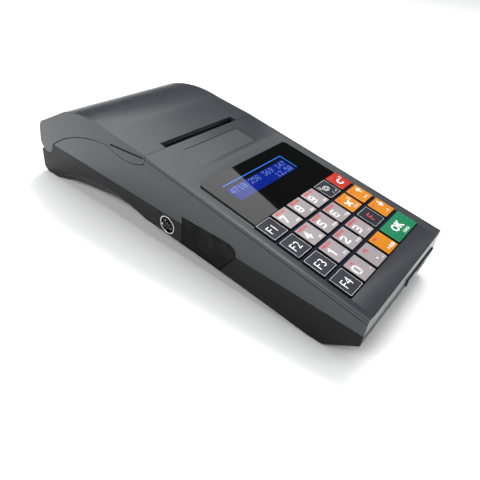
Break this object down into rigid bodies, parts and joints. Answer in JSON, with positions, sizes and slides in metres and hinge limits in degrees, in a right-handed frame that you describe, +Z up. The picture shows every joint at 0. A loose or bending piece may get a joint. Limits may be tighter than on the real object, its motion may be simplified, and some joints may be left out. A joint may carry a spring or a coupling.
{
  "type": "portable cash register",
  "caption": "Portable cash register: key deck, blue display under a dark window, hinged lid over a receipt printer, round power inlet and rubber port cover.",
  "frame": {"origin": "on the table, under the middle of the case", "axes": "+X to the user's right, +Y from the keys to the printer, +Z up"},
  "size_m": [0.088, 0.241, 0.0567],
  "materials": {
    "case_black": "fine-textured black ABS",
    "case_charcoal": "fine-textured charcoal ABS",
    "lid_charcoal": "satin charcoal ABS",
    "window": "smoked gloss acrylic",
    "lcd": "blue backlit display",
    "plate": "satin plate, bare",
    "mat": "navy silicone",
    "circuit_board": "green solder mask",
    "spring_steel": "spring steel",
    "bright_steel": "plated steel",
    "chrome": "polished",
    "contacts": "plated brass",
    "rubber": "moulded black rubber",
    "black_plastic": "black plastic",
    "sleeve": "shrink sleeve",
    "paper": "thermal paper",
    "card": "card tube",
    "aluminium": "extruded",
    "gear_plastic": "white acetal",
    "brass_gear": "turned brass",
    "key_grey": "warm grey caps",
    "key_slate": "slate caps",
    "key_navy": "navy caps",
    "key_red": "red cap",
    "key_orange": "amber caps",
    "key_green": "green cap"
  },
  "bodies": {
    "case": {"battery_hatch": "case_black", "battery_pack": "sleeve", "board_parts": "black_plastic", "case_screws": "bright_steel", "display_window": "window", "drawer_port": "black_plastic", "fiscal_memory": "black_plastic", "front_cover": "black_plastic", "head_springs": "spring_steel", "hinge_pin": "bright_steel", "key_domes": "spring_steel", "keypad_board": "circuit_board", "keypad_mat": "mat", "lcd_module": "lcd", "lower_case": "case_black", "main_board": "circuit_board", "name_plate": "plate", "paper_tray": "case_black", "power_socket": "black_plastic", "power_socket_pins": "contacts", "power_socket_ring": "chrome", "print_head": "aluminium", "printer_frame": "black_plastic", "printer_motor": "bright_steel", "rubber_feet": "rubber", "tear_bar": "spring_steel", "upper_case": "case_charcoal", "usb_port": "bright_steel"},
    "lid": {"printer_cover": "lid_charcoal"},
    "platen": {"platen_roller": "rubber", "platen_shaft": "bright_steel", "platen_gear": "gear_plastic"},
    "idler": {"idler_gear": "gear_plastic"},
    "motor_rotor": {"motor_pinion": "brass_gear"},
    "paper": {"paper_roll": "paper", "paper_core": "card"},
    "flap": {"port_cover": "rubber"},
    "key_f1": {"key_f1": "key_slate"},
    "key_7": {"key_7": "key_grey"},
    "key_8": {"key_8": "key_grey"},
    "key_9": {"key_9": "key_grey"},
    "key_operator": {"key_operator": "key_navy"},
    "key_clear": {"key_clear": "key_red"},
    "key_f2": {"key_f2": "key_slate"},
    "key_4": {"key_4": "key_grey"},
    "key_5": {"key_5": "key_grey"},
    "key_6": {"key_6": "key_grey"},
    "key_multiply": {"key_multiply": "key_orange"},
    "key_up": {"key_up": "key_orange"},
    "key_f3": {"key_f3": "key_slate"},
    "key_1": {"key_1": "key_grey"},
    "key_2": {"key_2": "key_grey"},
    "key_3": {"key_3": "key_grey"},
    "key_shift": {"key_shift": "key_navy"},
    "key_down": {"key_down": "key_orange"},
    "key_f4": {"key_f4": "key_slate"},
    "key_0": {"key_0": "key_grey"},
    "key_point": {"key_point": "key_grey"},
    "key_total": {"key_total": "key_orange"},
    "key_ok": {"key_ok": "key_green"}
  },
  "joints": [
    {"name": "lid_hinge", "type": "hinge", "parent": "case", "child": "lid", "pos_m": [0, 0.1122, 0.0235], "axis": [-1, 0, 0], "range_deg": [0, 80]},
    {"name": "platen_spin", "type": "hinge", "parent": "lid", "child": "platen", "pos_m": [0, 0.02114, 0.0428], "axis": [1, 0, 0], "continuous": true},
    {"name": "idler_spin", "type": "hinge", "parent": "case", "child": "idler", "pos_m": [0, 0.02463, 0.02976], "axis": [1, 0, 0], "continuous": true},
    {"name": "motor_spin", "type": "hinge", "parent": "case", "child": "motor_rotor", "pos_m": [0, 0.02735, 0.01962], "axis": [1, 0, 0], "continuous": true},
    {"name": "paper_spin", "type": "hinge", "parent": "case", "child": "paper", "pos_m": [0, 0.06219, 0.0335], "axis": [1, 0, 0], "continuous": true},
    {"name": "port_cover_hinge", "type": "hinge", "parent": "case", "child": "flap", "pos_m": [-0.044, -0.0139, 0.017], "axis": [0, 0, -1], "range_deg": [0, 100]},
    {"name": "f1_press", "type": "slide", "parent": "case", "child": "key_f1", "axis": [0, 0.1724, -0.985], "range_m": [0, 0.0012], "stiffness_N_per_m": 500, "springref_m": -0.0006},
    {"name": "7_press", "type": "slide", "parent": "case", "child": "key_7", "axis": [0, 0.1724, -0.985], "range_m": [0, 0.0012], "stiffness_N_per_m": 500, "springref_m": -0.0006},
    {"name": "8_press", "type": "slide", "parent": "case", "child": "key_8", "axis": [0, 0.1724, -0.985], "range_m": [0, 0.0012], "stiffness_N_per_m": 500, "springref_m": -0.0006},
    {"name": "9_press", "type": "slide", "parent": "case", "child": "key_9", "axis": [0, 0.1724, -0.985], "range_m": [0, 0.0012], "stiffness_N_per_m": 500, "springref_m": -0.0006},
    {"name": "operator_press", "type": "slide", "parent": "case", "child": "key_operator", "axis": [0, 0.1724, -0.985], "range_m": [0, 0.0012], "stiffness_N_per_m": 500, "springref_m": -0.0006},
    {"name": "clear_press", "type": "slide", "parent": "case", "child": "key_clear", "axis": [0, 0.1724, -0.985], "range_m": [0, 0.0012], "stiffness_N_per_m": 500, "springref_m": -0.0006},
    {"name": "f2_press", "type": "slide", "parent": "case", "child": "key_f2", "axis": [0, 0.1724, -0.985], "range_m": [0, 0.0012], "stiffness_N_per_m": 500, "springref_m": -0.0006},
    {"name": "4_press", "type": "slide", "parent": "case", "child": "key_4", "axis": [0, 0.1724, -0.985], "range_m": [0, 0.0012], "stiffness_N_per_m": 500, "springref_m": -0.0006},
    {"name": "5_press", "type": "slide", "parent": "case", "child": "key_5", "axis": [0, 0.1724, -0.985], "range_m": [0, 0.0012], "stiffness_N_per_m": 500, "springref_m": -0.0006},
    {"name": "6_press", "type": "slide", "parent": "case", "child": "key_6", "axis": [0, 0.1724, -0.985], "range_m": [0, 0.0012], "stiffness_N_per_m": 500, "springref_m": -0.0006},
    {"name": "multiply_press", "type": "slide", "parent": "case", "child": "key_multiply", "axis": [0, 0.1724, -0.985], "range_m": [0, 0.0012], "stiffness_N_per_m": 500, "springref_m": -0.0006},
    {"name": "up_press", "type": "slide", "parent": "case", "child": "key_up", "axis": [0, 0.1724, -0.985], "range_m": [0, 0.0012], "stiffness_N_per_m": 500, "springref_m": -0.0006},
    {"name": "f3_press", "type": "slide", "parent": "case", "child": "key_f3", "axis": [0, 0.1724, -0.985], "range_m": [0, 0.0012], "stiffness_N_per_m": 500, "springref_m": -0.0006},
    {"name": "1_press", "type": "slide", "parent": "case", "child": "key_1", "axis": [0, 0.1724, -0.985], "range_m": [0, 0.0012], "stiffness_N_per_m": 500, "springref_m": -0.0006},
    {"name": "2_press", "type": "slide", "parent": "case", "child": "key_2", "axis": [0, 0.1724, -0.985], "range_m": [0, 0.0012], "stiffness_N_per_m": 500, "springref_m": -0.0006},
    {"name": "3_press", "type": "slide", "parent": "case", "child": "key_3", "axis": [0, 0.1724, -0.985], "range_m": [0, 0.0012], "stiffness_N_per_m": 500, "springref_m": -0.0006},
    {"name": "shift_press", "type": "slide", "parent": "case", "child": "key_shift", "axis": [0, 0.1724, -0.985], "range_m": [0, 0.0012], "stiffness_N_per_m": 500, "springref_m": -0.0006},
    {"name": "down_press", "type": "slide", "parent": "case", "child": "key_down", "axis": [0, 0.1724, -0.985], "range_m": [0, 0.0012], "stiffness_N_per_m": 500, "springref_m": -0.0006},
    {"name": "f4_press", "type": "slide", "parent": "case", "child": "key_f4", "axis": [0, 0.1724, -0.985], "range_m": [0, 0.0012], "stiffness_N_per_m": 500, "springref_m": -0.0006},
    {"name": "0_press", "type": "slide", "parent": "case", "child": "key_0", "axis": [0, 0.1724, -0.985], "range_m": [0, 0.0012], "stiffness_N_per_m": 500, "springref_m": -0.0006},
    {"name": "point_press", "type": "slide", "parent": "case", "child": "key_point", "axis": [0, 0.1724, -0.985], "range_m": [0, 0.0012], "stiffness_N_per_m": 500, "springref_m": -0.0006},
    {"name": "total_press", "type": "slide", "parent": "case", "child": "key_total", "axis": [0, 0.1724, -0.985], "range_m": [0, 0.0012], "stiffness_N_per_m": 500, "springref_m": -0.0006},
    {"name": "ok_press", "type": "slide", "parent": "case", "child": "key_ok", "axis": [0, 0.1724, -0.985], "range_m": [0, 0.0012], "stiffness_N_per_m": 500, "springref_m": -0.0006}
  ],
  "couplings": [
    {"joint": "idler_spin", "follows": "platen_spin", "ratio": -0.8},
    {"joint": "motor_spin", "follows": "platen_spin", "ratio": 2}
  ]
}
